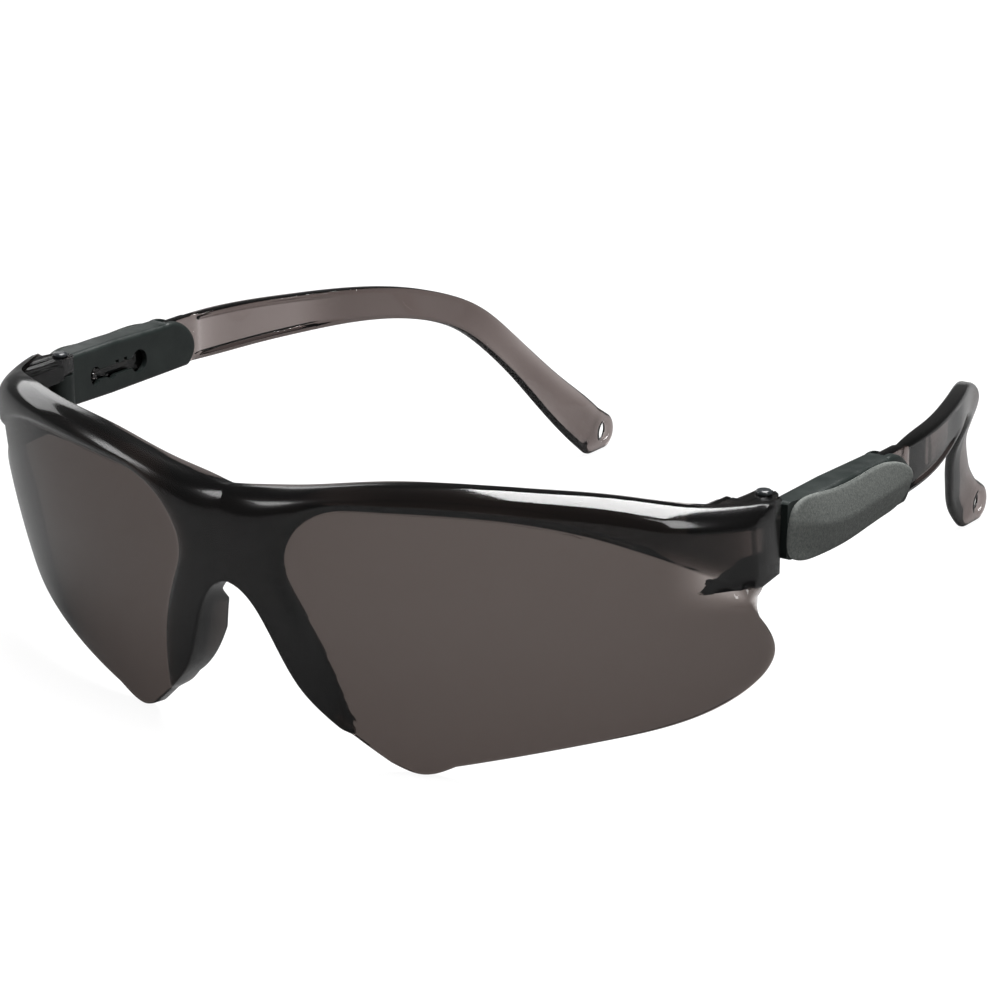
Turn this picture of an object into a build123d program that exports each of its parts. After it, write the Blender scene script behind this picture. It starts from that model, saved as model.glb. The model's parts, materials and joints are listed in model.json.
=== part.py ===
"""Wrap-around safety glasses with extending, folding temples.

Millimetres, +Z up.  The glasses stand open on the lens tips and the temple tips at z = 0.
The wearer looks along -Y, and the wearer's left is +X.  The origin is the bottom centre of the
whole object's box.  Every y below is measured from the hinge pins, which stand at y = hinge_y.
"""
import os
from math import cos, radians, sin, sqrt
from build123d import *

os.makedirs("parts", exist_ok=True)

# ---- driving dimensions -------------------------------------------------------------------
hinge_x = 66.0              # hinge pins stand this far either side of the centre
hinge_y = -42.77            # puts the middle of the object's box at y = 0

wrap_radius = 96.1          # front surface seen from above
rise_radius = 152.5         # front surface seen from the side
wrap_axis_y = 54.1          # vertical axis of the wrap, behind the hinges
rise_mid_z = 50.7           # height where the front surface is furthest forward
lens_thick = 2.0
frame_proud = 0.7           # the thick frame stands this far in front of the lens field
brow_bevel = 2.2            # slope along the top of the brow
frame_depth = 3.6           # and reaches this far behind the lens field's front
flange_reach = 31.0         # nose flanges end this far in front of the hinges

pin_r = 0.9
pin_fit = 0.05              # radial running clearance of the pins
boss_r = 2.2                # round ends of the hinge lugs and the knuckle
boss_gap = 0.4              # turning room around the lugs
lug_top = 42.7
lug_low = 39.9
knuckle_top = 39.6
knuckle_low = 33.4
foot_top = 33.1
foot_low = 31.0
web_top = 35.6              # web that stiffens the lower lug, in front of the knuckle
wall_end = -0.5             # the hinge end's outer wall reaches back to here
sleeve_front = 0.5

arm_thick = 3.0
tongue_x = 68.8             # middle of the temple's tongue
tongue_thick = 2.0
tongue_low = 34.2
tongue_top = 39.8
tongue_front = 5.2
sleeve_inner_x = 66.6
sleeve_outer_x = 71.4
sleeve_corner = 1.2         # corners of the sleeve's side view
sleeve_round = 0.9          # long edges of the sleeve
slide_gap = 0.2             # room round the tongue inside the sleeve
detent_pitch = 3.75
detent_steps = 3            # the temple draws out by three notches
nub_y = 9.5
nub_r = 0.65
nub_short = 0.3             # the nub stays this far inside the sleeve's inner face
slot_z = 36.9
slot_tall = 1.9
slot_fingers = (15.0, 17.2)
pad_lap = 0.02              # the pad starts this far outside the sleeve
pad_outer_x = 72.7

lanyard_r = 1.8             # holes in the temple tips
lanyard_y = 123.9
lanyard_z = 3.4
tip_r = 3.8
tip_y = 124.1
tip_x = 39.5
tip_thick = 2.3

side_view = Plane((0, hinge_y, 0), x_dir=(0, 1, 0), z_dir=(1, 0, 0))
front_view = Plane((0, hinge_y, 0), x_dir=(1, 0, 0), z_dir=(0, -1, 0))
wrap_axis = Axis((0, hinge_y + wrap_axis_y, 0), (0, 0, 1))
far = 60.0                  # longer than any cut or extrusion has to reach


def top_view(height):
    """A horizontal plane whose y starts at the hinges."""
    return Plane((0, hinge_y, height), x_dir=(1, 0, 0), z_dir=(0, 0, 1))


def side_view_at(x):
    """The side view moved out to x."""
    return Plane((x, hinge_y, 0), x_dir=(0, 1, 0), z_dir=(1, 0, 0))


def surface_y(depth, z):
    """y on the centre line, depth behind the front surface, at height z."""
    arc = sqrt((rise_radius - depth) ** 2 - (z - rise_mid_z) ** 2)
    return wrap_axis_y + rise_radius - wrap_radius - arc


def surface_arc(depth, start, end):
    """The centre-line arc of the surface at that depth."""
    middle = (start + end) / 2
    points = [(surface_y(depth, z), z) for z in (start, middle, end)]
    return ThreePointArc(*points)


def wrap_shell(front, back):
    """Sketch of the curved shell between two depths, ready to be revolved."""
    with BuildSketch(side_view) as section:
        with BuildLine():
            outer = surface_arc(front, -2, 49)
            inner = surface_arc(back, 49, -2)
            Line(outer @ 1, inner @ 0)
            Line(inner @ 1, outer @ 0)
        make_face()
    return section.sketch


# ---- outlines of the front, seen from the front: wearer's left half ------------------------
brow_line = [(0, 42.8), (12, 44.1), (25, 46.3), (36, 47.0), (46, 46.7), (55, 45.8), (63, 44.0), (69.4, 42.9)]
lobe_line = [(69.4, 29.6), (71.6, 21.5), (66.6, 14.6), (52, 8.6), (31, 2.4)]
nose_line = [(22, 1.6), (14.5, 7.8), (10.5, 12.2), (8.1, 17), (5.6, 23), (3.2, 26.6), (0, 28.2)]
lens_tip = (26.0, 0.0)
field_line = [(17.2, 4.0), (15.2, 14.9), (11.2, 26), (9.1, 32), (14.0, 40.2), (24.5, 42.7),
              (36, 43.0), (48.5, 41.8), (60, 37.6), (67, 32), (72, 24.5)]

with BuildSketch(front_view) as front_outline:
    with BuildLine():
        Spline(*brow_line, tangents=[(1, 0), (1, -0.1)])
        Line(brow_line[-1], lobe_line[0])
        Spline(*lobe_line)
        Spline(lobe_line[-1], lens_tip, nose_line[0])
        Spline(*nose_line, tangents=[(-1, 0.8), (-1, 0)])
        Line(nose_line[-1], brow_line[0])
    make_face()
    mirror(about=Plane.YZ)

with BuildSketch(front_view) as lens_field:
    with BuildLine():
        Spline(*field_line)
        Polyline(field_line[-1], (80, -5), (17.2, -5), field_line[0])
    make_face()
    mirror(about=Plane.YZ)

# ---- hinge lugs, seen from above -------------------------------------------------------------
upper_lug_line = [(64.3, 0), (64.3, -3.6), (61.6, -4.6), (61.6, -17.0), (65.5, -15.2),
                  (68.4, -10), (68.6, -1.2), (hinge_x, 0)]
web_line = [(64.0, -4.2), (62.6, -8.0), (62.6, -16.6), (65.5, -15.2), (68.4, -10), (68.6, -4.2)]
foot_lug_line = [(64.3, 0), (64.3, -2.4), (66.8, -8.0), (68.4, -10), (68.6, -1.2), (hinge_x, 0)]

# ---- front: lens, frame, nose flanges and hinge ends are one moulding ----------------------
with BuildPart() as lens:
    add(wrap_shell(0, lens_thick))
    revolve(axis=wrap_axis)
    extrude(front_outline.sketch, amount=far, both=True, mode=Mode.INTERSECT)

with BuildPart() as frame:
    add(wrap_shell(-frame_proud, frame_depth))
    revolve(axis=wrap_axis)
    extrude(front_outline.sketch - lens_field.sketch, amount=far, both=True, mode=Mode.INTERSECT)
    brow_edges = frame.edges().sort_by(SortBy.LENGTH)[-2:].sort_by(Axis.Y)
    chamfer(brow_edges[0], length=brow_bevel)
    chamfer(frame.edges().sort_by(SortBy.LENGTH)[-1], length=0.8)

with BuildPart() as nose_flanges:
    with BuildSketch(front_view):
        with BuildLine():
            Spline((16.6, 6.2), (10.5, 12.2), (8.1, 17), (5.0, 24.2))
            Line((5.0, 24.2), (7.4, 25.4))
            Spline((7.4, 25.4), (10.2, 17.6), (12.6, 13.2), (18.4, 7.4))
            Line((18.4, 7.4), (16.6, 6.2))
        make_face()
        mirror(about=Plane.YZ)
    extrude(amount=far)
    with BuildSketch(side_view):
        with BuildLine():
            Polyline((-37, 26.5), (-46, 26.5), (-46, 5.5), (-34, 5.5))
            Spline((-34, 5.5), (-flange_reach, 10), (-flange_reach, 17), (-33, 22.5), (-37, 26.5))
        make_face()
    extrude(amount=far, both=True, mode=Mode.INTERSECT)
    with BuildSketch(side_view):
        with BuildLine():
            front_arc = surface_arc(-frame_proud / 2, -2, 49)
            Polyline(front_arc @ 1, (0, 49), (0, -2), front_arc @ 0)
        make_face()
    revolve(axis=wrap_axis, mode=Mode.INTERSECT)

with BuildPart() as hinge_end:
    # outer wall behind the frame
    with BuildSketch(top_view(foot_low)):
        with BuildLine():
            Spline((66.4, -15.6), (68.8, -11.5), (69.5, -6), (69.4, wall_end))
            Polyline((69.4, wall_end), (68.6, wall_end), (67.4, -8), (63, -15), (66.4, -15.6))
        make_face()
    extrude(amount=lug_top + 0.2 - foot_low)
    # web above the lower lug
    with BuildSketch(top_view(foot_low)):
        with BuildLine():
            Polyline(*web_line, close=True)
        make_face()
    extrude(amount=web_top - foot_low)
    # upper and lower lugs round the pin
    for low, high, lug_line in ((lug_low, lug_top, upper_lug_line), (foot_low, foot_top, foot_lug_line)):
        with BuildSketch(top_view(low)):
            with BuildLine():
                Polyline(*lug_line, close=True)
            make_face()
            with Locations((hinge_x, 0)):
                Circle(boss_r)
        extrude(amount=high - low)
    with Locations((hinge_x, hinge_y, foot_low - 1)):
        Cylinder(pin_r + pin_fit, 14, align=(Align.CENTER, Align.CENTER, Align.MIN), mode=Mode.SUBTRACT)

with BuildPart() as front_shield:
    add(lens.part)
    add(frame.part)
    add(nose_flanges.part)
    add(hinge_end.part)
    mirror(hinge_end.part, about=Plane.YZ)

# ---- hinge pin: a headed rivet --------------------------------------------------------------
with BuildPart() as hinge_pin_left:
    with Locations((hinge_x, hinge_y, foot_low - 0.5)):
        Cylinder(pin_r, lug_top + 1 - foot_low, align=(Align.CENTER, Align.CENTER, Align.MIN))
        Cylinder(1.4, 0.48, align=(Align.CENTER, Align.CENTER, Align.MIN))
    with Locations((hinge_x, hinge_y, lug_top + 0.02)):
        Cylinder(1.25, 0.6, align=(Align.CENTER, Align.CENTER, Align.MIN))
    fillet(hinge_pin_left.faces().sort_by(Axis.Z)[-1].edges(), radius=0.5)

# ---- sleeve: hard shell that hinges on the pin and holds the temple --------------------------
with BuildPart() as temple_sleeve_left:
    with BuildSketch(side_view_at(sleeve_inner_x)) as sleeve_side:
        with BuildLine():
            Polyline((28.7, 41.5), (14, 41.9), (0.2, 41.8), (0.2, 33.0), (14, 32.8), (34.2, 33.0))
            Spline((34.2, 33.0), (36, 37.3), (33.4, 40.4), (28.7, 41.5))
        make_face()
        fillet(sleeve_side.vertices(), radius=sleeve_corner)
    extrude(amount=sleeve_outer_x - sleeve_inner_x)
    fillet(temple_sleeve_left.faces().filter_by(Axis.X).edges(), radius=sleeve_round)
    with BuildSketch(top_view(knuckle_low - 1)):
        with BuildLine():
            Polyline((sleeve_inner_x, 1.2), (68.2, sleeve_front), (69.7, sleeve_front))
            Spline((69.7, sleeve_front), (70.7, 5), (sleeve_outer_x, 14))
            Polyline((sleeve_outer_x, 14), (sleeve_outer_x, 40), (sleeve_inner_x, 40), (sleeve_inner_x, 1.2))
        make_face()
    extrude(amount=far, mode=Mode.INTERSECT)
    # turning room for the two lugs, then the knuckle between them
    with Locations((hinge_x, hinge_y, knuckle_top)):
        Cylinder(boss_r + boss_gap, far, align=(Align.CENTER, Align.CENTER, Align.MIN), mode=Mode.SUBTRACT)
    with Locations((hinge_x, hinge_y, knuckle_low)):
        Cylinder(boss_r + boss_gap, far, align=(Align.CENTER, Align.CENTER, Align.MAX), mode=Mode.SUBTRACT)
    with Locations((hinge_x, hinge_y, knuckle_low)):
        Cylinder(boss_r, knuckle_top - knuckle_low, align=(Align.CENTER, Align.CENTER, Align.MIN))
    with Locations((hinge_x, hinge_y, knuckle_low - 1)):
        Cylinder(pin_r + pin_fit, 14, align=(Align.CENTER, Align.CENTER, Align.MIN), mode=Mode.SUBTRACT)
    # channel for the temple's tongue, open to full height behind the shoulder
    channel_inner = tongue_x - tongue_thick / 2 - slide_gap
    channel_wide = tongue_thick + 2 * slide_gap
    with BuildSketch(side_view_at(channel_inner)):
        with BuildLine():
            Polyline((tongue_front - 0.6, tongue_low - slide_gap), (60, tongue_low - slide_gap),
                     (60, tongue_top + slide_gap), (tongue_front - 0.6, tongue_top + slide_gap), close=True)
        make_face()
        with BuildLine():
            Polyline((28.6, 60), (29.0, 42), (33.4, 33.4), (33.4, 20), (60, 20), (60, 60), close=True)
        make_face()
    extrude(amount=channel_wide, mode=Mode.SUBTRACT)
    # notched slot in the inner wall for the temple's nub
    with BuildSketch(side_view_at(sleeve_inner_x - 1)):
        slot_run = detent_steps * detent_pitch
        with Locations((nub_y + slot_run / 2, slot_z)):
            Rectangle(slot_run, slot_tall)
        with Locations((nub_y, slot_z)):
            Ellipse(1.3, 1.6)
        with Locations((nub_y + detent_pitch + 0.4, slot_z - 0.2)):
            Circle(1.25)
        with Locations((nub_y + slot_run, slot_z)):
            Circle(2.0)
        for finger in slot_fingers:
            with Locations((finger, slot_z + slot_tall / 2)):
                Rectangle(0.8, 1.2)
    extrude(amount=channel_inner + 1.2 - sleeve_inner_x, mode=Mode.SUBTRACT)

# ---- soft grip pad let into the sleeve's outer side -------------------------------------------
with BuildPart() as sleeve_cover_left:
    with BuildSketch(side_view_at(sleeve_outer_x - 3)):
        with BuildLine():
            Spline((1.4, 33.2), (0.5, 37.7), (1.6, 40.8), (9, 41.5), (20, 41.3), (29.5, 40.4),
                   (34.8, 37.4), (32.5, 34.3), (16, 33.0), (4, 32.8), periodic=True)
        make_face()
    extrude(amount=6)
    with BuildSketch(top_view(knuckle_low - 1)):
        with BuildLine():
            Spline((69.7 + pad_lap, 0.4), (70.7 + pad_lap, 5), (sleeve_outer_x + pad_lap, 14))
            Polyline((sleeve_outer_x + pad_lap, 14), (sleeve_outer_x + pad_lap, 36), (72.3, 36))
            Spline((72.3, 36), (pad_outer_x, 22), (71.9, 8), (70.5, 0.4))
            Line((70.5, 0.4), (69.7 + pad_lap, 0.4))
        make_face()
    extrude(amount=far, mode=Mode.INTERSECT)

# ---- temple: straight tongue in the sleeve, then down and in to a flat holed tip ---------------
# stations along the temple: x, y and z of the middle, slope down in degrees, width, thickness
arm_stations = [
    (tongue_x, 36.8, 37.1, 0, 8.3, tongue_thick),
    (68.1, 42.0, 37.1, 0, 8.2, 2.7),
    (66.5, 51.5, 37.0, 0, 7.7, arm_thick),
    (64.0, 61.0, 36.8, 2, 7.0, arm_thick),
    (60.4, 72.0, 36.4, 6, 6.2, arm_thick),
    (56.0, 83.2, 35.0, 17, 5.6, 2.9),
    (53.2, 90.3, 32.9, 35, 5.6, 2.8),
    (50.7, 96.5, 29.7, 53, 6.0, 2.7),
    (47.6, 101.3, 24.8, 62, 6.4, 2.5),
    (44.4, 105.6, 19.2, 60, 7.0, 2.4),
    (41.9, 111.0, 13.0, 52, 8.1, tip_thick),
    (40.1, 116.0, 8.0, 42, 9.0, tip_thick),
    (tip_x, 119.9, 4.7, 36, 9.0, tip_thick),
]


def station_plane(x, y, z, slope):
    """Plane across the temple, square to its run in the side view."""
    run = (0, cos(radians(slope)), -sin(radians(slope)))
    return Plane((x, hinge_y + y, z), x_dir=(1, 0, 0), z_dir=run)


with BuildPart() as temple_arm_left:
    for x, y, z, slope, width, thick in arm_stations:
        with BuildSketch(station_plane(x, y, z, slope)):
            RectangleRounded(thick, width, 0.7)
    loft()
    # flat foot with a round end, standing on the floor
    with BuildSketch(side_view_at(tip_x - tip_thick / 2)):
        with BuildLine():
            Line((119.9, 0), (tip_y, 0))
            ThreePointArc((tip_y, 0), (tip_y + tip_r, tip_r), (124.64, 7.56))
            Line((124.64, 7.56), (120.52, 8.81))
            ThreePointArc((120.52, 8.81), (115.5, 4.42), (119.9, 0))
        make_face()
    extrude(amount=tip_thick)
    # full-height neck up to the shoulder, and the tongue
    with BuildSketch(side_view_at(tongue_x - tongue_thick / 2)):
        with BuildLine():
            Polyline((37.2, 41.25), (29.7, 41.25), (34.1, 33.0), (37.2, 32.95), close=True)
        make_face()
        with BuildLine():
            Polyline((tongue_front, tongue_low), (34, tongue_low), (34, tongue_top),
                     (tongue_front, tongue_top), close=True)
        make_face()
    extrude(amount=tongue_thick)
    # detent nub that clicks along the sleeve's slot
    with BuildSketch(side_view_at(tongue_x)):
        with Locations((nub_y, slot_z)):
            Circle(nub_r)
    extrude(amount=-(tongue_x - sleeve_inner_x - nub_short))
    with BuildSketch(side_view_at(tip_x - 5)):
        with Locations((lanyard_y, lanyard_z)):
            Circle(lanyard_r)
    extrude(amount=10, mode=Mode.SUBTRACT)

# ---- right side: the mirror image -------------------------------------------------------------
with BuildPart() as hinge_pin_right:
    mirror(hinge_pin_left.part, about=Plane.YZ)
with BuildPart() as temple_sleeve_right:
    mirror(temple_sleeve_left.part, about=Plane.YZ)
with BuildPart() as sleeve_cover_right:
    mirror(sleeve_cover_left.part, about=Plane.YZ)
with BuildPart() as temple_arm_right:
    mirror(temple_arm_left.part, about=Plane.YZ)

front_shield.part.label = "front_shield"
hinge_pin_left.part.label = "hinge_pin_left"
hinge_pin_right.part.label = "hinge_pin_right"
temple_sleeve_left.part.label = "temple_sleeve_left"
temple_sleeve_right.part.label = "temple_sleeve_right"
sleeve_cover_left.part.label = "sleeve_cover_left"
sleeve_cover_right.part.label = "sleeve_cover_right"
temple_arm_left.part.label = "temple_arm_left"
temple_arm_right.part.label = "temple_arm_right"

export_step(front_shield.part, "parts/front_shield.step")
export_step(hinge_pin_left.part, "parts/hinge_pin_left.step")
export_step(hinge_pin_right.part, "parts/hinge_pin_right.step")
export_step(temple_sleeve_left.part, "parts/temple_sleeve_left.step")
export_step(temple_sleeve_right.part, "parts/temple_sleeve_right.step")
export_step(sleeve_cover_left.part, "parts/sleeve_cover_left.step")
export_step(sleeve_cover_right.part, "parts/sleeve_cover_right.step")
export_step(temple_arm_left.part, "parts/temple_arm_left.step")
export_step(temple_arm_right.part, "parts/temple_arm_right.step")
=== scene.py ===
"""Looks of the wrap-around safety glasses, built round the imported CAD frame."""
import json
import math
import bmesh
import bpy
import numpy as np
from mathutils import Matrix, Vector
from mathutils.geometry import delaunay_2d_cdt


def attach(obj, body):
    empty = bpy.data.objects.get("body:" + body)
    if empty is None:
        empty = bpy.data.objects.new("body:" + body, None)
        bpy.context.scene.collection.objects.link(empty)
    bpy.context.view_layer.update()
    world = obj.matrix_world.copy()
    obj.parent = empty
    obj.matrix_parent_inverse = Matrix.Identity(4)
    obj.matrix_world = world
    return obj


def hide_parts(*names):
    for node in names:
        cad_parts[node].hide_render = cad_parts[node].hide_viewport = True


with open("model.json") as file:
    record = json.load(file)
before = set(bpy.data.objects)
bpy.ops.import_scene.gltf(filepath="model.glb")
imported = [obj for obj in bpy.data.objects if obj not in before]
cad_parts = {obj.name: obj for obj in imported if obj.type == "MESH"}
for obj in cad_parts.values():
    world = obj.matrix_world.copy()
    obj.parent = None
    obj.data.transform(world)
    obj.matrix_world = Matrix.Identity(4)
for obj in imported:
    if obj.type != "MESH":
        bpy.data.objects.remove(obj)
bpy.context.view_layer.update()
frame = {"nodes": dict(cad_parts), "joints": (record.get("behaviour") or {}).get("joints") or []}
MM = 0.001                  # the shapes are in millimetres, as in the CAD
hinges = {joint["name"]: joint["pos_m"] for joint in frame["joints"] if joint["type"] == "hinge"}
HINGE_X = hinges["fold_left"][0] / MM
HINGE_Y = hinges["fold_left"][1] / MM       # every y of a shape is measured from the hinge pins


# ---- camera, floor and light, in metres ---------------------------------------------------------
AZIMUTH, ELEVATION = math.radians(33.85), math.radians(17.88)
CAMERA_REACH = 0.5287
FOCAL_MM, SENSOR_MM = 126.1, 36
AIM = Vector((0.0205, HINGE_Y * MM, 0.0335))

STAGE_GLOW = 0.93           # the paper is lit evenly from within, so it stays white
REFLECTED_GLOW = 0.07       # what the paper gives to reflections and to matt surfaces
WORLD_GLOW = 0.11
PAPER_GREY, PAPER_ROUGH = 0.1, 0.9
FLOOR_NEAR, FLOOR_FAR, HALF_WIDTH, BACK_TOP = -3.0, 1.6, 4.0, 4.0
BEND_RADIUS, BEND_STEPS = 0.8, 12
FLOOR_DROP = 0.0002         # keeps the floor just under the part

LIGHT_AIM = (0, 0, 0.03)
LIGHTS = [                  # name, place, width and height, watts
    ("overhead", (0.15, 0.1, 0.9), (1.0, 0.6), 27),
    ("back_left", (-1.1, 0.45, 0.42), (1.0, 0.4), 2.2),
    ("front_left", (-0.9, -0.6, 0.6), (0.3, 0.4), 2),
    ("fill_right", (0.9, -0.25, 0.6), (0.3, 0.5), 2.4),
]


def add_camera():
    data = bpy.data.cameras.new("camera")
    data.lens = FOCAL_MM
    data.sensor_width = SENSOR_MM
    camera = bpy.data.objects.new("camera", data)
    bpy.context.scene.collection.objects.link(camera)
    back = Vector((math.sin(AZIMUTH) * math.cos(ELEVATION),
                   -math.cos(AZIMUTH) * math.cos(ELEVATION), math.sin(ELEVATION)))
    camera.location = AIM + back * CAMERA_REACH
    camera.rotation_euler = (-back).to_track_quat("-Z", "Y").to_euler()
    bpy.context.scene.camera = camera


def add_light(name, place, size, power):
    data = bpy.data.lights.new(name, "AREA")
    data.shape = "RECTANGLE"
    data.size, data.size_y = size
    data.energy = power
    lamp = bpy.data.objects.new(name, data)
    lamp.location = place
    lamp.rotation_euler = (Vector(LIGHT_AIM) - Vector(place)).to_track_quat("-Z", "Y").to_euler()
    bpy.context.scene.collection.objects.link(lamp)


def stage_material():
    """White where it is seen straight or through the plastic, dark in reflections."""
    material, tree, shader = new_material("stage_paper", (PAPER_GREY,) * 3, PAPER_ROUGH,
                                          Specular_IOR_Level=0.0)
    shader.inputs["Emission Color"].default_value = (1, 1, 1, 1)
    rays = tree.nodes.new("ShaderNodeLightPath")
    seen = tree.nodes.new("ShaderNodeMath")
    seen.operation = "MAXIMUM"
    tree.links.new(rays.outputs["Is Camera Ray"], seen.inputs[0])
    tree.links.new(rays.outputs["Is Transmission Ray"], seen.inputs[1])
    tree.links.new(spread(tree, seen.outputs["Value"], REFLECTED_GLOW, STAGE_GLOW, 0, 1),
                   shader.inputs["Emission Strength"])
    return material


def add_stage():
    """A pale floor that curves up into a pale backdrop far behind."""
    rows = [(FLOOR_NEAR, 0.0), (FLOOR_FAR, 0.0)]
    for angle in np.linspace(0, math.pi / 2, BEND_STEPS + 1)[1:]:
        rows.append((FLOOR_FAR + BEND_RADIUS * math.sin(angle), BEND_RADIUS * (1 - math.cos(angle))))
    rows.append((FLOOR_FAR + BEND_RADIUS, BACK_TOP))
    vertices = []
    for along, height in rows:
        for across in (-HALF_WIDTH, HALF_WIDTH):
            x = across * math.cos(AZIMUTH) - along * math.sin(AZIMUTH)
            y = across * math.sin(AZIMUTH) + along * math.cos(AZIMUTH)
            vertices.append((x, y, height - FLOOR_DROP))
    faces = [(a, a + 1, a + 3, a + 2) for a in range(0, 2 * len(rows) - 2, 2)]
    mesh = bpy.data.meshes.new("backdrop")
    mesh.from_pydata(vertices, [], faces)
    mesh.shade_smooth()
    mesh.materials.append(stage_material())
    backdrop = bpy.data.objects.new("backdrop", mesh)
    bpy.context.scene.collection.objects.link(backdrop)


def add_world():
    world = bpy.data.worlds.new("studio")
    bpy.context.scene.world = world
    world.use_nodes = True
    world.node_tree.nodes["Background"].inputs["Color"].default_value = (1, 1, 1, 1)
    world.node_tree.nodes["Background"].inputs["Strength"].default_value = WORLD_GLOW
    bpy.context.scene.view_settings.view_transform = "Standard"


# ---- curves ------------------------------------------------------------------------------------
def spline(points, start=None, end=None, step=0.6):
    """A smooth curve through the points, sampled about every step mm."""
    points = np.array(points, float)
    run = np.concatenate([[0], np.cumsum(np.linalg.norm(np.diff(points, axis=0), axis=1))])
    count = len(points)
    system = np.zeros((count, count))
    target = np.zeros((count, points.shape[1]))
    gap = np.diff(run)
    for i in range(1, count - 1):
        system[i, i - 1:i + 2] = gap[i], 2 * (gap[i - 1] + gap[i]), gap[i - 1]
        target[i] = 3 * (gap[i] * (points[i] - points[i - 1]) / gap[i - 1]
                         + gap[i - 1] * (points[i + 1] - points[i]) / gap[i])
    # an end has the slope given for it, or else no curvature
    for row, near, slope in ((0, 1, start), (count - 1, count - 2, end)):
        if slope is None:
            system[row, row], system[row, near] = 2, 1
            i = min(row, near)
            target[row] = 3 * (points[i + 1] - points[i]) / gap[i]
        else:
            system[row, row] = 1
            target[row] = np.array(slope, float) / np.linalg.norm(slope)
    slopes = np.linalg.solve(system, target)
    samples = np.linspace(0, run[-1], max(2, int(run[-1] / step) + 1))
    which = np.clip(np.searchsorted(run, samples, side="right") - 1, 0, count - 2)
    h = gap[which][:, None]
    t = ((samples - run[which]) / gap[which])[:, None]
    return ((2 * t**3 - 3 * t**2 + 1) * points[which] + (t**3 - 2 * t**2 + t) * h * slopes[which]
            + (3 * t**2 - 2 * t**3) * points[which + 1] + (t**3 - t**2) * h * slopes[which + 1])


def straight(a, b, step=0.6):
    a, b = np.array(a, float), np.array(b, float)
    count = max(2, int(np.linalg.norm(b - a) / step) + 1)
    return a + (b - a) * np.linspace(0, 1, count)[:, None]


def circle(middle, radius, steps):
    turn = np.linspace(0, 2 * math.pi, steps + 1)[:-1]
    return np.stack([middle[0] + radius * np.cos(turn), middle[1] + radius * np.sin(turn)], 1)


def joined(*runs):
    """Runs end to end, with each shared point once."""
    return np.concatenate([runs[0]] + [run[1:] for run in runs[1:]])


def closed(loop):
    """The loop with its first point once more at its end."""
    return np.concatenate([loop, loop[:1]])


def offset_line(line, amount):
    """The polyline moved to its left by amount."""
    run = np.gradient(line, axis=0)
    run /= np.linalg.norm(run, axis=1)[:, None]
    return line + amount * np.stack([-run[:, 1], run[:, 0]], 1)


def along_line(line, value):
    """Second coordinate of a curve where its first is value."""
    return np.interp(value, line[:, 0], line[:, 1])


FAR = 1e9                   # further than any point of the part


def distance(points, line):
    """Distance from each point to a polyline."""
    best = np.full(len(points), FAR)
    for a, b in zip(line[:-1], line[1:]):
        run = b - a
        t = np.clip(((points - a) @ run) / max(run @ run, 1e-12), 0, 1)
        best = np.minimum(best, np.linalg.norm(points - a - t[:, None] * run, axis=1))
    return best


def inside(points, loop):
    """Which points lie inside a closed loop."""
    result = np.zeros(len(points), bool)
    x, y = points[:, 0], points[:, 1]
    for (x1, y1), (x2, y2) in zip(loop, np.roll(loop, -1, axis=0)):
        cross = (y1 > y) != (y2 > y)
        with np.errstate(divide="ignore", invalid="ignore"):
            result ^= cross & (x < (x2 - x1) * (y - y1) / (y2 - y1) + x1)
    return result


def everywhere(points):
    return np.ones(len(points), bool)


# ---- soft steps --------------------------------------------------------------------------------
def ramp(low, high, value):
    """0 below low, 1 above high, smooth between."""
    t = np.clip((value - low) / (high - low), 0, 1)
    return t * t * (3 - 2 * t)


def soft(edge, before, after):
    """Start and end of a soft step round an edge."""
    return edge - before, edge + after


def between(low, high, value):
    """1 between two soft steps, each given by its start and end."""
    return ramp(*low, value) * (1 - ramp(*high, value))


def edge_round(distance_in, radius):
    """How far a rounded rim drops below the face, at a distance in from the rim."""
    t = np.clip(radius - distance_in, 0, radius)
    return radius - np.sqrt(np.maximum(radius**2 - t**2, 0))


# ---- meshes ------------------------------------------------------------------------------------
ROW_RISE = 0.866            # height of an even triangle over its side
RING_KEEP = 0.8             # a ring point stays if the rim is no nearer than this share of its distance
RIM_CLEAR, LINE_CLEAR = 0.6, 0.45       # from the grid to a ring or a feature, in grid spacings
JOIN_MM, MERGE_M = 1e-6, 1e-5


def grid_inside(loop, spacing):
    """Points of an even triangular grid inside a loop."""
    low, high = loop.min(0), loop.max(0)
    xs = np.arange(low[0] + spacing / 3, high[0], spacing)
    ys = np.arange(low[1] + spacing / 3, high[1], spacing * ROW_RISE)
    gx, gy = np.meshgrid(xs, ys)
    gx = gx + (np.arange(len(ys)) % 2)[:, None] * spacing / 2
    grid = np.stack([gx.ravel(), gy.ravel()], 1)
    return grid[inside(grid, loop)]


def loop_edges(first, count):
    return [(first + i, first + (i + 1) % count) for i in range(count)]


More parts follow.
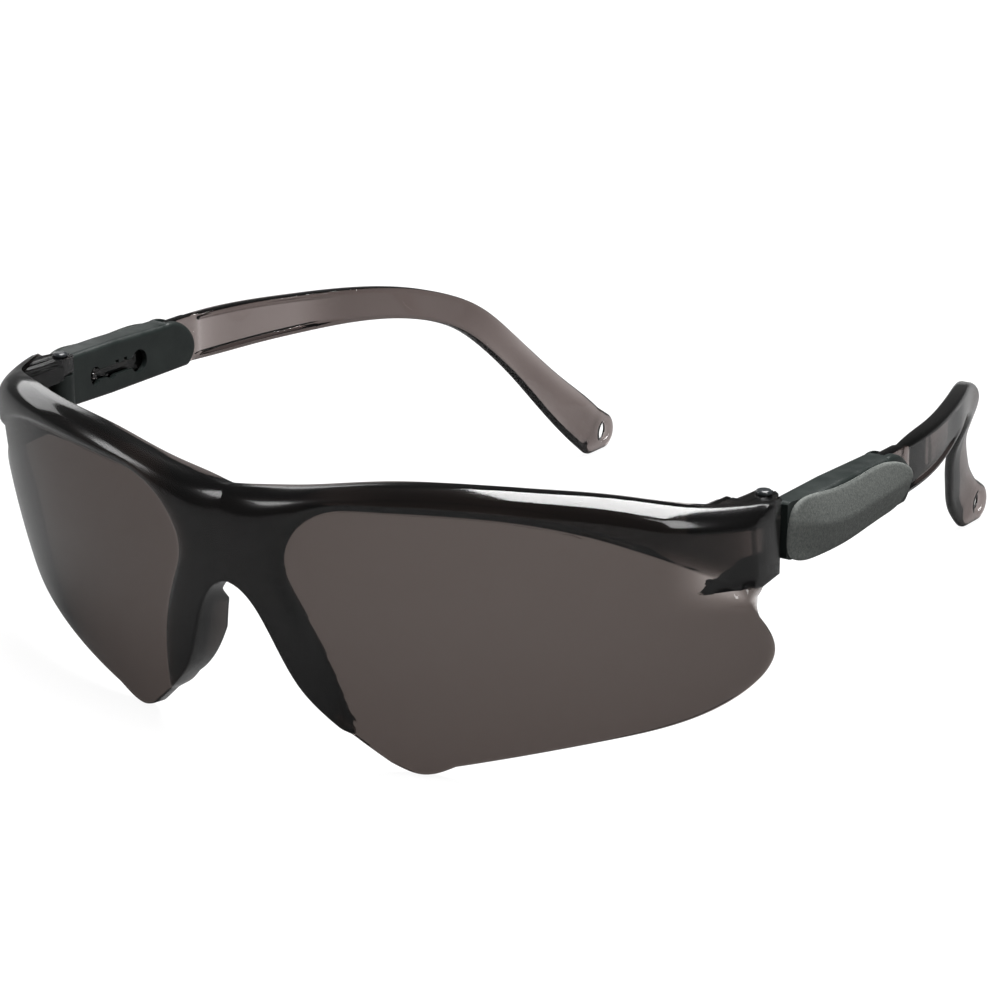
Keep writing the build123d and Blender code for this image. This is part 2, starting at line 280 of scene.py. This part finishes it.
def plate_mesh(loop, features, zones, rings, keep_off, hole=None):
    """Triangles that fill a closed loop, but for a hole.

    features are polylines that the triangles follow, keep_off mm inside the rim or further.
    zones are (test, spacing) pairs for the grid points inside, and rings are distances of extra
    rows inside the rim.
    """
    rim = closed(loop)
    groups = []
    for ring in rings:
        row = offset_line(rim, ring)[:-1]
        groups.append(row[inside(row, loop) & (distance(row, rim) > ring * RING_KEEP)])
    if hole is not None:
        hole_rim = closed(hole)
        groups += [offset_line(hole_rim, -ring)[:-1] for ring in rings]
    lines = [line[inside(line, loop) & (distance(line, rim) > keep_off)] for line in features]
    groups += lines
    for test, spacing in zones:
        grid = grid_inside(loop, spacing)
        grid = grid[test(grid)]
        grid = grid[distance(grid, rim) > rings[-1] + spacing * RIM_CLEAR]
        for line in lines:
            if len(line) > 1:
                grid = grid[distance(grid, line) > spacing * LINE_CLEAR]
        if hole is not None:
            grid = grid[~inside(grid, hole)]
            grid = grid[distance(grid, hole_rim) > rings[-1] + spacing * RIM_CLEAR]
        groups.append(grid)
    edges = loop_edges(0, len(loop))
    if hole is not None:
        edges += loop_edges(len(loop), len(hole))
        groups = [hole] + [group[~inside(group, hole)] for group in groups]
    points = np.concatenate([loop] + groups)
    result = delaunay_2d_cdt([Vector(p) for p in points], edges, [], 1, JOIN_MM)
    flat = np.array([tuple(p) for p in result[0]])
    faces = [tuple(f) for f in result[2]]
    if hole is not None:
        in_hole = inside(np.array([flat[list(f)].mean(0) for f in faces]), hole)
        faces = [f for f, gone in zip(faces, in_hole) if not gone]
    return flat, faces


def slab(front, back, faces):
    """A closed plate between two layers of points that share the same triangles."""
    count = len(front)
    uses = {}
    for face in faces:
        for a, b in zip(face, face[1:] + face[:1]):
            uses.setdefault((min(a, b), max(a, b)), []).append((a, b))
    rim = [pairs[0] for pairs in uses.values() if len(pairs) == 1]
    walls = [(b, a, a + count, b + count) for a, b in rim]
    both = faces + [tuple(i + count for i in reversed(f)) for f in faces]
    return np.concatenate([front, back]) * MM, both, walls


def link_mesh(name, vertices, faces):
    mesh = bpy.data.meshes.new(name)
    mesh.from_pydata([tuple(v) for v in vertices], [], faces)
    mesh.validate()
    piece = bpy.data.objects.new(name, mesh)
    bpy.context.scene.collection.objects.link(piece)
    return piece


def finish_mesh(piece, sharp_degrees):
    """Merges doubles, points the faces outwards and shades smoothly up to the sharp angle."""
    work = bmesh.new()
    work.from_mesh(piece.data)
    bmesh.ops.remove_doubles(work, verts=work.verts, dist=MERGE_M)
    bmesh.ops.recalc_face_normals(work, faces=work.faces)
    work.to_mesh(piece.data)
    work.free()
    piece.data.shade_smooth()
    piece.data.set_sharp_from_angle(angle=math.radians(sharp_degrees))


# ---- the front: lens, brow, bridge, nose flanges and hinge ends, one moulding -------------------
WRAP_RADIUS, RISE_RADIUS, WRAP_Y, RISE_Z = 96.1, 152.5, 54.1, 50.7
LENS_THICK, FRAME_PROUD, FRAME_DEPTH = 2.0, 0.7, 3.6
OUTER_STEP, INNER_STEP = (-0.15, 1.1), (-0.4, 1.4)      # from the lens field into the frame
RIM_ROUND, RIM_ROUND_MOST = 0.45, 0.4           # mm, and at most this share of the thickness
STRAIGHT_X, STRAIGHT_Z = (58.0, 61.2), (26.0, 30.8)     # where the inner face starts to go straight back
SIDE_X = 69.4               # outer face of the hinge end

# outlines as (x, z): top of the brow, outer lobe of the lens, its lowest run, nose edge, lens field
BROW = spline([(0, 42.8), (12, 44.1), (25, 46.3), (36, 47.0), (46, 46.7), (55, 45.8), (63, 44.0),
               (SIDE_X, 42.9)], start=(1, 0), end=(1, -0.1))
LOBE = spline([(SIDE_X, 29.6), (71.5, 21.5), (66.6, 14.0), (52, 7.8), (31.4, 2.0)])
TIP_RUN = spline([(31.4, 2.0), (26, 0.05), (22, 1.6)])
NOSE = spline([(22, 1.6), (14.5, 7.8), (10.5, 12.2), (8.1, 17), (5.6, 23), (3.2, 26.6), (0, 28.2)],
              start=(-1, 0.8), end=(-1, 0))
FRONT_RIM = joined(BROW, straight(BROW[-1], LOBE[0]), LOBE, TIP_RUN, NOSE)
FIELD = spline([(17.2, 4.0), (15.2, 14.9), (11.2, 26), (9.1, 32), (14.0, 40.2), (24.5, 42.7), (36, 43.0),
                (48.5, 41.8), (60, 37.6), (67, 32), (72, 24.5)])
FIELD_LOOP = np.concatenate([FIELD, [(90, 24.5), (90, -9), (17.2, -9)]])

# how far the top of the brow lies behind its front, along x
ROLL = spline([(0, 2.8), (5.3, 4.4), (12, 4.3), (25, 3.9), (36, 3.4), (46, 3.9), (55, 4.6), (63, 5.4),
               (70, 6.2)])
ROLL_TALL, BRIDGE_TALLER, BRIDGE_FADE = 3.6, 1.6, (2, 14)
ROLL_SHARE = 0.99           # stops the roll just short of level, where its slope would be endless
BROW_WALL, BROW_WALL_FROM, ROLL_UNROUND = 0.8, (0.3, 0.8), (0.2, 0.6)

CORNER_X, CORNER_DEEP, CORNER_RISE = 61.0, 4.8, (26.5, 33.0)

# y of the nose flanges' rear edge at each z
FLANGE_Z = [5.6, 7.2, 10, 17, 22.5, 25.2, 26.8]
FLANGE_Y = [-34.4, -32.2, -31.0, -31.0, -33.0, -36.2, -38.2]
FLANGE_WIDE, FLANGE_LOW, FLANGE_HIGH, FLANGE_MAX_X = (1.5, 2.7), (5.0, 6.4), (25.6, 27.2), 30

# hinge end: outer wall, slanted web, and an upper and a lower lug round the pin
LUG_TOP, LUG_LOW, FOOT_TOP, FOOT_LOW = 42.7, 39.9, 33.1, 31.0
FOOT_STEP = soft(FOOT_LOW, 0.05, 0.25)
WALL_X, WALL_END = (68.2, 68.6), -0.5
WEB_X, WEB_LEAN, WEB_STEP, WEB_TOP, WEB_END = 63.2, 0.75, 0.8, 35.6, -4.2
BOSS_R, LUG_END, LUG_ROOT_END = 2.2, -1.3, -3.9
LUG_X, LUG_ROOT_X, FOOT_X, LUG_SIDE = (61.4, 61.8), 64.0, (64.2, 64.6), (68.9, 69.3)

# rows of points that keep the steps above crisp
FIELD_ROWS = (-0.35, 0.0, 0.35, 0.7, 1.1)
NOSE_ROWS = (-1.5, -1.9, -2.3, -2.7, 1.5, 1.9, 2.3, 2.7)
BROW_ROWS = (0.85, 1.05, 1.3, 1.55, 1.8, 2.1, 2.4, 2.7, 3.0, 3.4, 3.8, 4.3, 4.8, 5.3)
LUG_ROWS, LUG_ROWS_X = (-0.22, -0.1, 0.1, 0.26), 61
ROW_STEP, COLUMN_STEP = 0.35, 0.4
FRONT_RINGS, FEATURE_INSET = [0.08, 0.22, 0.42, 0.62], 0.66
HINGE_ZONE_X, HINGE_ZONE_Z, NOSE_ZONE_WIDE = 60.5, 30.0, 4.5
HINGE_GRID, NOSE_GRID, LENS_GRID = 0.45, 0.7, 1.1
MIDDLE_M = 1e-6             # nearer to the mirror plane than this, a wall is left out


def front_surface(x, z, depth):
    """y of the wrapped front surface, depth mm in."""
    radius = np.sqrt((RISE_RADIUS - depth)**2 - (z - RISE_Z)**2) - (RISE_RADIUS - WRAP_RADIUS)
    return WRAP_Y - np.sqrt(np.maximum(radius**2 - x**2, 1))


def in_frame(flat):
    """Signed distance into the thick frame from the edge of the lens field."""
    away = distance(flat, FIELD)
    return np.where(inside(flat, FIELD_LOOP), -away, away)


def reach_back(inner, target, share):
    """Moves the inner face back to target, by the share given at each point."""
    return inner + np.maximum(target - inner, 0) * share


def add_flange(inner, flat):
    """The nose flange reaches back from the nose edge."""
    x, z = flat[:, 0], flat[:, 1]
    band = (1 - ramp(*FLANGE_WIDE, distance(flat, NOSE))) * between(FLANGE_LOW, FLANGE_HIGH, z)
    return np.where(x < FLANGE_MAX_X, reach_back(inner, np.interp(z, FLANGE_Z, FLANGE_Y), band), inner)


def add_hinge_end(inner, flat):
    x, z = flat[:, 0], flat[:, 1]
    wall = ramp(*WALL_X, x) * between(FOOT_STEP, soft(LUG_TOP, 0.2, 0.1), z)
    inner = reach_back(inner, WALL_END, wall)
    web_start = WEB_X + WEB_LEAN * (z - FOOT_LOW)
    web = ramp(0, WEB_STEP, x - web_start) * between(FOOT_STEP, soft(WEB_TOP, 0.2, 0.2), z)
    inner = reach_back(inner, WEB_END, web)
    upper = between(soft(LUG_LOW, 0.12, 0.12), soft(LUG_TOP, 0.08, 0.06), z)
    lower = between(FOOT_STEP, soft(FOOT_TOP, 0.12, 0.12), z) * ramp(*FOOT_X, x)
    boss = np.sqrt(np.maximum(BOSS_R**2 - (x - HINGE_X)**2, 0))
    lug = np.where(np.abs(x - HINGE_X) < BOSS_R, boss, LUG_END)
    lug = np.where(x < LUG_ROOT_X, LUG_ROOT_END, lug)
    return reach_back(inner, lug, np.maximum(upper, lower) * between(LUG_X, LUG_SIDE, x))


def front_depths(flat):
    """y of the outer and the inner face of the front moulding at each (x, z)."""
    x, z = flat[:, 0], flat[:, 1]
    into = in_frame(flat)
    outer = front_surface(x, z, -FRAME_PROUD * ramp(*OUTER_STEP, into))
    inner = front_surface(x, z, LENS_THICK + (FRAME_DEPTH - LENS_THICK) * ramp(*INNER_STEP, into))
    # the brow rolls back over its top, deeper towards the hinges
    tall = ROLL_TALL + BRIDGE_TALLER * (1 - ramp(*BRIDGE_FADE, x))
    slope = np.clip(1 - (along_line(BROW, x) - z) / tall, 0, 1)
    outer = outer + along_line(ROLL, x) * (1 - np.sqrt(1 - (ROLL_SHARE * slope)**2))
    inner = np.maximum(inner, outer + BROW_WALL * ramp(*BROW_WALL_FROM, slope))
    # the outer corner turns back into the hinge end
    corner = np.clip((x - CORNER_X) / (SIDE_X - CORNER_X), 0, 1) * ramp(*CORNER_RISE, z)
    outer = outer + CORNER_DEEP * corner**2
    inner = np.maximum(inner, outer + LENS_THICK)
    inner = add_hinge_end(add_flange(inner, flat), flat)
    # rounded rims, front and back, but not where the brow is already rolled
    rim = distance(flat, FRONT_RIM)
    inner_round = np.minimum(RIM_ROUND, (inner - outer) * RIM_ROUND_MOST)
    outer = outer + edge_round(rim, RIM_ROUND) * (1 - ramp(*ROLL_UNROUND, slope))
    inner = inner - edge_round(rim, inner_round)
    return outer, inner


def place_outer(flat, y):
    return np.stack([flat[:, 0], y + HINGE_Y, flat[:, 1]], 1)


def place_inner(flat, outer, inner):
    """The inner face square to the wrapped surface, but straight back at the hinge end."""
    x, z = flat[:, 0], flat[:, 1]
    square = 1 - ramp(*STRAIGHT_X, x) * ramp(*STRAIGHT_Z, z)
    sine = x / WRAP_RADIUS
    cosine = np.sqrt(1 - sine**2)
    thick = inner - outer
    side = x - thick * cosine * sine * square
    back = outer + thick * (1 - square * (1 - cosine**2))
    return np.stack([side, back + HINGE_Y, z], 1)


def hinge_zone(points):
    return (points[:, 0] > HINGE_ZONE_X) & (points[:, 1] > HINGE_ZONE_Z)


def nose_zone(points):
    return (distance(points, NOSE) < NOSE_ZONE_WIDE) & ~hinge_zone(points)


def lens_zone(points):
    return ~hinge_zone(points) & ~nose_zone(points)


def front_features():
    """Polylines along the steps of the front."""
    features = [offset_line(FIELD, side) for side in FIELD_ROWS]
    features += [offset_line(NOSE, side) for side in NOSE_ROWS]
    features += [BROW - (0, drop) for drop in BROW_ROWS]
    for height in (LUG_LOW, FOOT_TOP, FOOT_LOW, LUG_TOP, WEB_TOP):
        for shift in LUG_ROWS:
            features.append(straight((LUG_ROWS_X, height + shift), (SIDE_X, height + shift), ROW_STEP))
    for side in (*LUG_X, LUG_ROOT_X, LUG_ROOT_X + 0.3, FOOT_X[1], *WALL_X, *LUG_SIDE,
                 HINGE_X - BOSS_R, HINGE_X + BOSS_R):
        features.append(straight((side, FOOT_LOW), (side, LUG_TOP), COLUMN_STEP))
    web_top_x = WEB_X + WEB_LEAN * (WEB_TOP - FOOT_LOW)
    for shift in (0, WEB_STEP / 2, WEB_STEP):
        features.append(straight((WEB_X + shift, FOOT_LOW), (web_top_x + shift, WEB_TOP), COLUMN_STEP))
    return features


def build_front():
    loop = joined(FRONT_RIM, straight(NOSE[-1], BROW[0]))[:-1][::-1]
    zones = [(hinge_zone, HINGE_GRID), (nose_zone, NOSE_GRID), (lens_zone, LENS_GRID)]
    flat, faces = plate_mesh(loop, front_features(), zones, FRONT_RINGS, FEATURE_INSET)
    outer, inner = front_depths(flat)
    vertices, both, walls = slab(place_outer(flat, outer), place_inner(flat, outer, inner), faces)
    walls = [wall for wall in walls if max(abs(vertices[i][0]) for i in wall) > MIDDLE_M]
    mirrored = vertices * (-1, 1, 1)
    count = len(vertices)
    all_faces = both + walls
    all_faces += [tuple(i + count for i in reversed(f)) for f in all_faces]
    piece = link_mesh("lens_front", np.concatenate([vertices, mirrored]), all_faces)
    # marks the thick frame; the brow over the outer half of each lens lets more light through
    clearer = 0.55 * between((26, 42), (62, 67), flat[:, 0])
    mark = ramp(-0.2, 1.6, in_frame(flat)) * (1 - clearer)
    layer = piece.data.attributes.new("thick", "FLOAT", "POINT")
    layer.data.foreach_set("value", np.tile(mark, 4))       # outer and inner layer, left and right
    finish_mesh(piece, 40)
    return piece


# ---- temples: tongue, recessed run behind the sleeve, then down to the flat holed tip -----------
TONGUE_X, TONGUE_LOW, TONGUE_TOP, TONGUE_FRONT = 68.8, 34.2, 39.8, 5.2
SHOULDER_LOW, SHOULDER_TOP = np.array((34.1, 33.0)), np.array((29.7, 41.25))    # as (y, z)
SLEEVED_Y = 36              # the tongue's edges are less rounded up to here
NUB_Y, NUB_Z, NUB_R, NUB_INNER_X = 9.5, 36.9, 0.65, 66.9
NUB_LEVELS = ((TONGUE_X - 0.8, NUB_R), (NUB_INNER_X + 0.15, NUB_R), (NUB_INNER_X, 0.8 * NUB_R))
TIP_Y, TIP_R, TIP_FROM, TIP_TO = 124.2, 3.4, -90, 55
HEEL = [(118.6, 0.22), (119.9, 0.0)]
HOLE_Y, HOLE_Z, HOLE_R = 123.9, 3.4, 1.8
HOLE_STEPS, NUB_STEPS, TIP_STEPS = 32, 24, 24
# x, y and z of the middle, slope down in degrees, width, thickness
ARM_STATIONS = np.array([
    (68.8, 36.8, 37.1, 0, 8.3, 2.0),
    (68.1, 42.0, 37.1, 0, 8.2, 2.7),
    (66.5, 51.5, 37.0, 0, 7.7, 3.0),
    (64.0, 61.0, 36.8, 2, 7.0, 3.0),
    (60.4, 72.0, 36.4, 6, 6.2, 3.0),
    (56.0, 83.2, 35.0, 17, 5.6, 2.9),
    (53.2, 90.3, 32.9, 35, 5.6, 2.8),
    (50.7, 96.5, 29.7, 53, 6.0, 2.7),
    (47.6, 101.3, 24.8, 62, 6.4, 2.5),
    (44.4, 105.6, 19.2, 60, 7.0, 2.4),
    (41.9, 111.0, 13.0, 52, 8.1, 2.3),
    (40.1, 116.0, 8.0, 42, 9.0, 2.3),
    (39.5, 119.9, 4.7, 36, 9.0, 2.3),
])
ARM_RINGS, ARM_GRID = [0.1, 0.25, 0.5, 0.8, 1.0, 1.25, 1.5], 0.8
PANEL_DEEP, PANEL_RIM, PANEL_START, PANEL_END = 0.45, (0.85, 1.25), (37.6, 38.6), (60, 72)
PADDLE_FROM, SPINE_FALL, SPINE_WIDE = (62, 74), 0.35, 3.0
TONGUE_ROUND, ARM_ROUND, ROUND_SHARE, THINNEST = 0.3, 0.8, 0.9, 0.25


def on_shoulder(z):
    """Point of the slanted shoulder at height z."""
    share = (z - SHOULDER_LOW[1]) / (SHOULDER_TOP[1] - SHOULDER_LOW[1])
    return SHOULDER_LOW + (SHOULDER_TOP - SHOULDER_LOW) * share


def arm_outline():
    """Side view of the temple, anticlockwise, as (y, z)."""
    slope = np.radians(ARM_STATIONS[:, 3])
    across = np.stack([np.sin(slope), np.cos(slope)], 1) * ARM_STATIONS[:, 4:5] / 2
    middle = ARM_STATIONS[:, 1:3]
    low, top = spline(middle - across), spline(middle + across)
    turn = np.radians(np.linspace(TIP_FROM, TIP_TO, TIP_STEPS))
    cap = np.stack([TIP_Y + TIP_R * np.cos(turn), TIP_R + TIP_R * np.sin(turn)], 1)
    heel = spline([low[-1]] + HEEL)
    tongue_low, tongue_top = on_shoulder(TONGUE_LOW), on_shoulder(TONGUE_TOP)
    return joined(straight((TONGUE_FRONT, TONGUE_LOW), tongue_low),
                  straight(tongue_low, SHOULDER_LOW),
                  straight(SHOULDER_LOW, low[0]), low, heel,
                  straight(heel[-1], cap[0]), cap,
                  straight(cap[-1], top[-1]), top[::-1],
                  straight(top[0], SHOULDER_TOP),
                  straight(SHOULDER_TOP, tongue_top),
                  straight(tongue_top, (TONGUE_FRONT, TONGUE_TOP)),
                  straight((TONGUE_FRONT, TONGUE_TOP), (TONGUE_FRONT, TONGUE_LOW)))[:-1]


def along_arm(flat):
    """x of the middle, thickness and distance along the temple at each (y, z)."""
    run = spline(ARM_STATIONS[:, [1, 2, 0, 5]])
    steps = np.concatenate([[0], np.cumsum(np.linalg.norm(np.diff(run[:, :2], axis=0), axis=1))])
    best = np.full(len(flat), FAR)
    found = np.zeros((len(flat), 3))
    for i in range(len(run) - 1):
        a, step = run[i, :2], run[i + 1, :2] - run[i, :2]
        t = np.clip(((flat - a) @ step) / (step @ step), 0, 1)
        gap = np.linalg.norm(flat - a - t[:, None] * step, axis=1)
        near = gap < best
        best[near] = gap[near]
        mix = t[near][:, None]
        found[near] = np.concatenate([run[i, 2:] * (1 - mix) + run[i + 1, 2:] * mix,
                                      steps[i] + (steps[i + 1] - steps[i]) * mix], 1)
    return found.T


def build_nub(first):
    """Vertices in mm and faces of the detent nub, its first vertex numbered first."""
    vertices = []
    for x, radius in NUB_LEVELS:
        vertices += [(x, y, z) for y, z in circle((NUB_Y + HINGE_Y, NUB_Z), radius, NUB_STEPS)]
    last = first + NUB_STEPS * (len(NUB_LEVELS) - 1)
    faces = [tuple(range(first, first + NUB_STEPS)), tuple(range(last, last + NUB_STEPS))]
    for level in range(first, last, NUB_STEPS):
        faces += [(a, b, b + NUB_STEPS, a + NUB_STEPS) for a, b in loop_edges(level, NUB_STEPS)]
    return np.array(vertices), faces


def build_arm(side, word):
    loop = arm_outline()
    hole = circle((HOLE_Y, HOLE_Z), HOLE_R, HOLE_STEPS)
    flat, faces = plate_mesh(loop, [], [(everywhere, ARM_GRID)], ARM_RINGS, 0, hole)
    y, z = flat[:, 0], flat[:, 1]
    rim = distance(flat, closed(loop))
    hole_gap = np.abs(np.linalg.norm(flat - (HOLE_Y, HOLE_Z), axis=1) - HOLE_R)
    middle, thick, along = along_arm(flat)
    # a sunk panel with raised rims behind the sleeve, and a soft spine on the paddle
    sunk = PANEL_DEEP * ramp(*PANEL_RIM, rim) * between(PANEL_START, PANEL_END, y)
    fall = SPINE_FALL * ramp(*PADDLE_FROM, along) * (1 - ramp(0, SPINE_WIDE, rim))
    rounding = edge_round(np.minimum(rim, hole_gap), np.where(y < SLEEVED_Y, TONGUE_ROUND, ARM_ROUND))
    half = np.maximum(thick / 2 - sunk - fall - rounding * ROUND_SHARE, THINNEST)
    outer = np.stack([middle + half, y + HINGE_Y, z], 1)
    inner = np.stack([middle - half, y + HINGE_Y, z], 1)
    vertices, both, walls = slab(outer, inner, faces)
    nub, nub_faces = build_nub(len(vertices))
    vertices = np.concatenate([vertices, nub * MM]) * (side, 1, 1)
    arm = link_mesh(f"arm_{word}_smoke", vertices, both + walls + nub_faces)
    finish_mesh(arm, 38)
    return arm


# ---- grip pads on the sleeves' outer sides ------------------------------------------------------
# outline as (y, z), then the sleeve's face x, the ridge's height z and the pad's bulge along y
PAD_LINE = [(1.5, 33.1), (0.5, 37.6), (1.6, 40.9), (9, 41.7), (20, 41.5), (29.5, 40.8),
            (34.7, 37.4), (32.3, 34.3), (27, 33.1), (16, 32.3), (7, 32.2)]
PAD_START = (-1, 0.6)       # direction of the outline through its first point
PAD_SEAT = spline([(0.4, 69.7), (5, 70.75), (14, 71.44), (22, 71.44), (36, 71.44)])
PAD_RIDGE = spline([(-1, 39.0), (3.6, 38.1), (9.4, 36.9), (15, 36.5), (21, 36.7), (28, 37.0), (36, 37.4)])
PAD_BULGE = spline([(0.4, 0.75), (5, 1.1), (14, 1.24), (22, 1.24), (30, 1.15), (36, 0.8)])
PAD_EDGE, PAD_MAX_X = 0.12, 72.69       # thickness at the rim, outermost x
PAD_ABOVE, PAD_BELOW = 5, 4.5           # height of the facets above and below the ridge
PAD_ROUND, PAD_ROUND_SHARE = 0.45, 0.8
PAD_RINGS, PAD_GRID, PAD_INSET = [0.1, 0.25, 0.45, 0.7], 0.8, 0.9


def build_pad(side, word):
    loop = spline(PAD_LINE + PAD_LINE[:1], start=PAD_START, end=PAD_START, step=0.5)[:-1][::-1]
    features = [PAD_RIDGE + (0, shift) for shift in (-0.5, 0, 0.5)]
    flat, faces = plate_mesh(loop, features, [(everywhere, PAD_GRID)], PAD_RINGS, PAD_INSET)
    y, z = flat[:, 0], flat[:, 1]
    seat, ridge = along_line(PAD_SEAT, y), along_line(PAD_RIDGE, y)
    above = np.clip((z - ridge) / PAD_ABOVE, 0, 1)
    below = np.clip((ridge - z) / PAD_BELOW, 0, 1)
    lean = (1 - 0.55 * above - 0.35 * above**2) * (1 - 0.75 * below - 0.15 * below**2)
    top = seat + PAD_EDGE + (along_line(PAD_BULGE, y) - PAD_EDGE) * lean
    top = top - edge_round(distance(flat, closed(loop)), PAD_ROUND) * PAD_ROUND_SHARE
    top = np.clip(top, seat + PAD_EDGE, PAD_MAX_X)
    outer = np.stack([top, y + HINGE_Y, z], 1)
    inner = np.stack([seat, y + HINGE_Y, z], 1)
    vertices, both, walls = slab(outer, inner, faces)
    pad = link_mesh(f"pad_{word}_grip", vertices * (side, 1, 1), both + walls)
    finish_mesh(pad, 40)
    return pad


# ---- materials ---------------------------------------------------------------------------------
def new_material(name, color, roughness, **sockets):
    material = bpy.data.materials.new(name)
    material.use_nodes = True
    shader = material.node_tree.nodes["Principled BSDF"]
    shader.inputs["Base Color"].default_value = (*color, 1)
    shader.inputs["Roughness"].default_value = roughness
    for socket, value in sockets.items():
        shader.inputs[socket.replace("_", " ")].default_value = value
    return material, material.node_tree, shader


def noise(tree, scale, detail=3.0, rough=0.5):
    coordinates = tree.nodes.new("ShaderNodeTexCoord")
    texture = tree.nodes.new("ShaderNodeTexNoise")
    texture.inputs["Scale"].default_value = scale
    texture.inputs["Detail"].default_value = detail
    texture.inputs["Roughness"].default_value = rough
    tree.links.new(coordinates.outputs["Object"], texture.inputs["Vector"])
    return texture.outputs["Fac"]


def spread(tree, value, low, high, start=0.3, stop=0.7):
    """Maps start to stop onto low to high; the middle of a noise is about 0.3 to 0.7."""
    node = tree.nodes.new("ShaderNodeMapRange")
    node.inputs["From Min"].default_value = start
    node.inputs["From Max"].default_value = stop
    node.inputs["To Min"].default_value = low
    node.inputs["To Max"].default_value = high
    tree.links.new(value, node.inputs["Value"])
    return node.outputs["Result"]


def blend_colors(tree, factor, dark, light):
    node = tree.nodes.new("ShaderNodeMix")
    node.data_type = "RGBA"
    node.inputs["A"].default_value = (*dark, 1)
    node.inputs["B"].default_value = (*light, 1)
    tree.links.new(factor, node.inputs["Factor"])
    return node.outputs["Result"]


def add_bump(tree, shader, height, strength, reach):
    node = tree.nodes.new("ShaderNodeBump")
    node.inputs["Strength"].default_value = strength
    node.inputs["Distance"].default_value = reach
    tree.links.new(height, node.inputs["Height"])
    tree.links.new(node.outputs["Normal"], shader.inputs["Normal"])


WHITE = (1, 1, 1)
POLYCARBONATE_IOR = 1.58
GLOSS = (0.015, 0.05)       # roughness of the clear plastic
THICK_HAZE = 0.15           # the thick frame's highlights are softer by this much roughness


def smoke_plastic(name, density, tint, thick_color=None):
    """Clear smoke polycarbonate: the colour comes from its thickness, deepened where it is marked thick."""
    material, tree, shader = new_material(name, WHITE, 0.03, IOR=POLYCARBONATE_IOR, Transmission_Weight=1.0)
    roughness = spread(tree, noise(tree, 60, 4), *GLOSS)
    if thick_color:
        mark = tree.nodes.new("ShaderNodeAttribute")
        mark.attribute_name = "thick"
        haze = tree.nodes.new("ShaderNodeMath")
        haze.operation = "MULTIPLY_ADD"
        tree.links.new(mark.outputs["Fac"], haze.inputs[0])
        haze.inputs[1].default_value = THICK_HAZE
        tree.links.new(roughness, haze.inputs[2])
        roughness = haze.outputs["Value"]
        tree.links.new(blend_colors(tree, mark.outputs["Fac"], WHITE, thick_color),
                       shader.inputs["Base Color"])
    tree.links.new(roughness, shader.inputs["Roughness"])
    absorb = tree.nodes.new("ShaderNodeVolumeAbsorption")
    absorb.inputs["Color"].default_value = (*tint, 1)
    absorb.inputs["Density"].default_value = density
    tree.links.new(absorb.outputs["Volume"], tree.nodes["Material Output"].inputs["Volume"])
    return material


def black_plastic():
    material, tree, shader = new_material("black_sleeve", (0.01, 0.013, 0.012), 0.36, Specular_IOR_Level=0.35)
    tree.links.new(spread(tree, noise(tree, 350), 0.28, 0.46), shader.inputs["Roughness"])
    tree.links.new(blend_colors(tree, noise(tree, 220), (0.004, 0.006, 0.006), (0.018, 0.023, 0.021)),
                   shader.inputs["Base Color"])
    add_bump(tree, shader, noise(tree, 2600, 4), strength=0.25, reach=0.00005)
    return material


def grip_rubber():
    material, tree, shader = new_material("grip_pad", (0.12, 0.13, 0.12), 0.7)
    tree.links.new(blend_colors(tree, noise(tree, 2400, 2), (0.035, 0.04, 0.039), (0.135, 0.143, 0.132)),
                   shader.inputs["Base Color"])
    tree.links.new(spread(tree, noise(tree, 1500), 0.58, 0.82), shader.inputs["Roughness"])
    add_bump(tree, shader, noise(tree, 3200, 3, 0.7), strength=0.6, reach=0.00012)
    return material


def pin_plastic():
    material, tree, shader = new_material("pin_black", (0.02, 0.022, 0.024), 0.18)
    tree.links.new(spread(tree, noise(tree, 900), 0.12, 0.3), shader.inputs["Roughness"])
    return material


def paint(obj, material):
    obj.data.materials.clear()
    obj.data.materials.append(material)


# ---- put it together ---------------------------------------------------------------------------
add_camera()
add_world()
add_stage()
for light in LIGHTS:
    add_light(*light)

smoke = smoke_plastic("smoke_lens", 1370, (0.125, 0.049, 0.018), (0.17, 0.15, 0.145))
smoke_arm = smoke_plastic("smoke_temple", 860, (0.12, 0.025, 0.0))
front = build_front()
paint(front, smoke)
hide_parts("front_shield")
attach(front, "front")

sleeve_black = black_plastic()
pad_grey = grip_rubber()
pin_black = pin_plastic()
for side, word in ((1, "left"), (-1, "right")):
    arm = build_arm(side, word)
    paint(arm, smoke_arm)
    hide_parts(f"temple_arm_{word}")
    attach(arm, f"arm_{word}")
    pad = build_pad(side, word)
    paint(pad, pad_grey)
    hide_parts(f"sleeve_cover_{word}")
    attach(pad, f"sleeve_{word}")
    paint(frame["nodes"][f"temple_sleeve_{word}"], sleeve_black)
    paint(frame["nodes"][f"hinge_pin_{word}"], pin_black)
